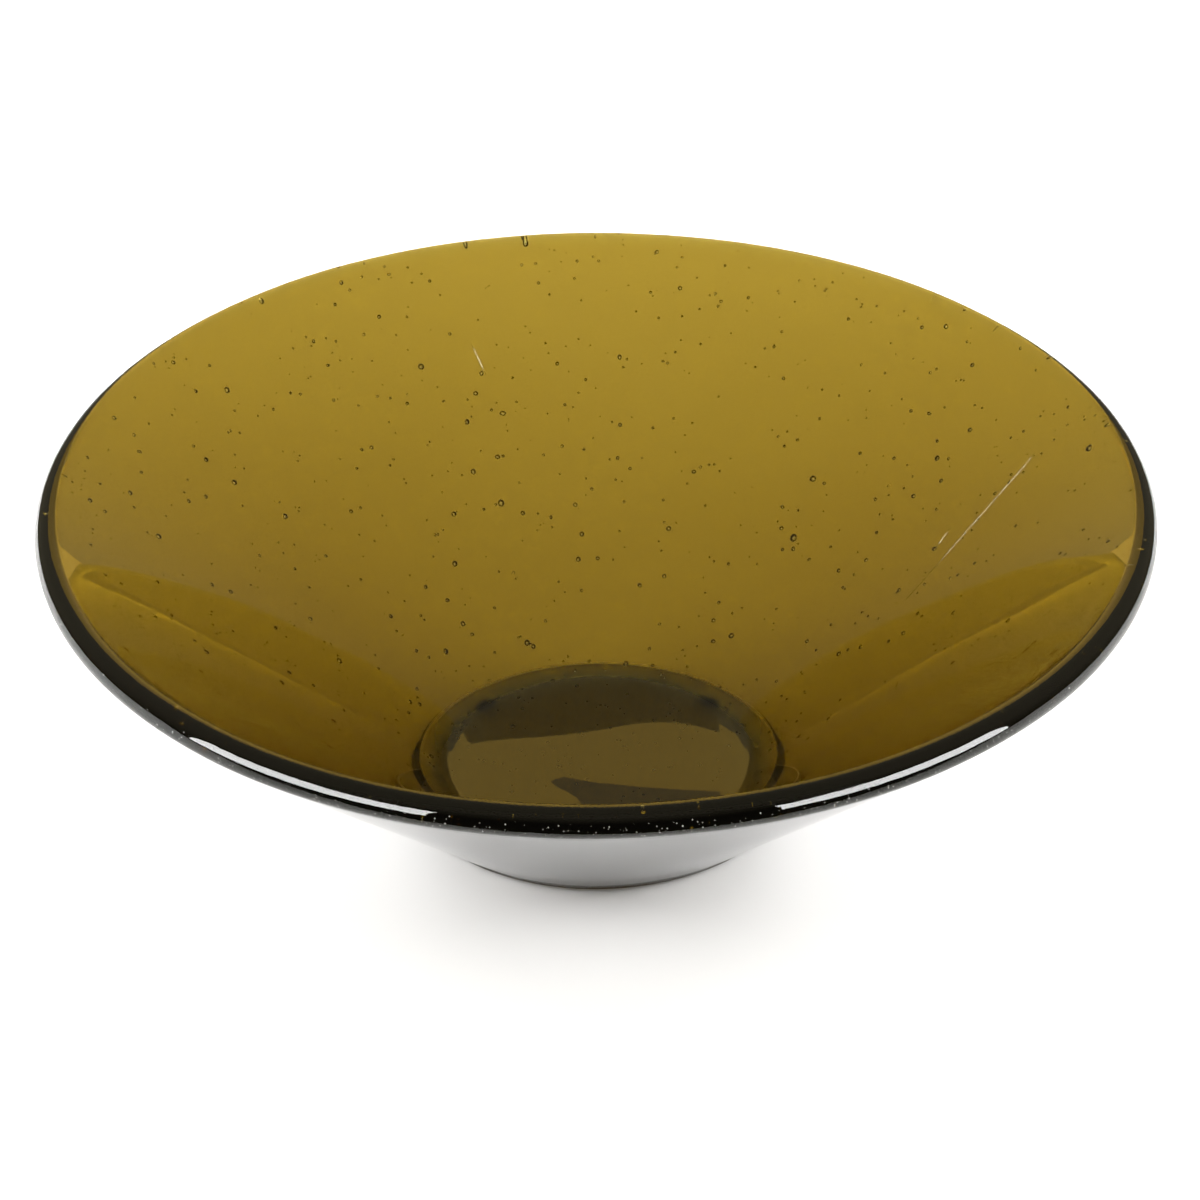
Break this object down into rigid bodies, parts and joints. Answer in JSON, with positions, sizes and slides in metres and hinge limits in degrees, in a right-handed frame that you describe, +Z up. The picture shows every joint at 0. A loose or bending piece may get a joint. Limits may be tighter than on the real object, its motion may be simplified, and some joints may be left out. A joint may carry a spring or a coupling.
{
  "type": "art glass bowl",
  "caption": "Wide shallow decorative bowl of thick amber-olive seeded glass, with straight flared walls, a rounded lip and a flat floor, standing on clear bumper pads.",
  "frame": {"origin": "on the bowl's axis, in the plane of the table that the pads stand on", "axes": "+Z up, out of the bowl's open side, along the axis that the bowl is turned about; +X and +Y run level, halfway between neighbouring pads"},
  "size_m": [0.4, 0.4, 0.125],
  "materials": {
    "seeded_glass": "glossy transparent amber-olive glass, full of small air bubbles",
    "clear_pad": "clear soft polyurethane, satin"
  },
  "bodies": {
    "root": {"glass_bowl": "seeded_glass", "bumper_pad_1": "clear_pad", "bumper_pad_2": "clear_pad", "bumper_pad_3": "clear_pad", "bumper_pad_4": "clear_pad"}
  },
  "joints": []
}
